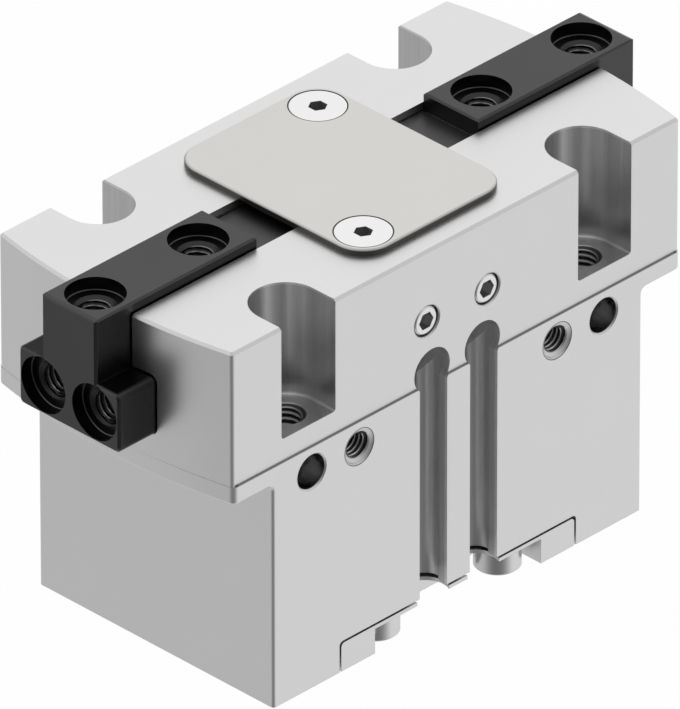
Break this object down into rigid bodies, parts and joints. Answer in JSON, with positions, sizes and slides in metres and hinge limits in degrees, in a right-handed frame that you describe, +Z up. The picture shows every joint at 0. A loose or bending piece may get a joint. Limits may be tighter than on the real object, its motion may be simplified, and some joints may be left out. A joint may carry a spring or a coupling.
{
  "type": "parallel gripper",
  "caption": "Pneumatic parallel gripper: a wedge hook on a piston slides T-slot guided jaws together above a bowed, notched housing.",
  "frame": {"origin": "centre of the flat underside that bolts to the machine", "axes": "+X along the jaws' travel, +Y away from the sensor slots seen in the picture, +Z up towards the fingers"},
  "size_m": [0.1086, 0.0472, 0.0639],
  "materials": {
    "housing_anodised": "satin hard-anodised light grey",
    "cap_anodised": "satin hard-anodised light grey",
    "cover_steel": "brushed stainless sheet",
    "jaw_black": "blackened hardened steel, ground",
    "screw_steel": "zinc-plated",
    "cover_screw_steel": "bright zinc-plated",
    "plug_steel": "bright zinc-plated",
    "plain_steel": "plain",
    "wedge_steel": "hardened and ground",
    "rod_chrome": "hard chrome",
    "piston_aluminium": "turned",
    "bush_bronze": "sintered bronze",
    "magnet_plastic": "plastic-bonded magnet",
    "seal_rubber": "nitrile",
    "bumper_rubber": "polyurethane"
  },
  "bodies": {
    "housing_body": {"housing": "housing_anodised", "end_cap": "cap_anodised", "cap_ring": "seal_rubber", "cap_screw_1": "screw_steel", "cap_screw_2": "screw_steel", "cap_screw_3": "screw_steel", "cap_screw_4": "screw_steel", "cover_plate": "cover_steel", "cover_screw_1": "cover_screw_steel", "cover_screw_2": "cover_screw_steel", "channel_plug_1": "plug_steel", "channel_plug_2": "plug_steel", "channel_plug_3": "plug_steel", "channel_plug_4": "plug_steel", "rod_bush": "bush_bronze", "rod_seal": "seal_rubber", "seal_washer": "plain_steel", "upper_bumper": "bumper_rubber", "lower_bumper": "bumper_rubber"},
    "drive": {"piston": "piston_aluminium", "piston_seal": "seal_rubber", "magnet_ring": "magnet_plastic", "piston_rod": "rod_chrome", "piston_screw": "screw_steel", "wedge_hook": "wedge_steel", "wedge_screw": "screw_steel"},
    "left_jaw": {"jaw_left": "jaw_black"},
    "right_jaw": {"jaw_right": "jaw_black"}
  },
  "joints": [
    {"name": "drive_slide", "type": "slide", "parent": "housing_body", "child": "drive", "axis": [0, 0, -1], "range_m": [0, 0.009]},
    {"name": "left_jaw_slide", "type": "slide", "parent": "housing_body", "child": "left_jaw", "axis": [1, 0, 0], "range_m": [0, 0.0065]},
    {"name": "right_jaw_slide", "type": "slide", "parent": "housing_body", "child": "right_jaw", "axis": [-1, 0, 0], "range_m": [0, 0.0065]}
  ],
  "couplings": [
    {"joint": "left_jaw_slide", "follows": "drive_slide", "ratio": 0.72222},
    {"joint": "right_jaw_slide", "follows": "drive_slide", "ratio": 0.72222}
  ]
}
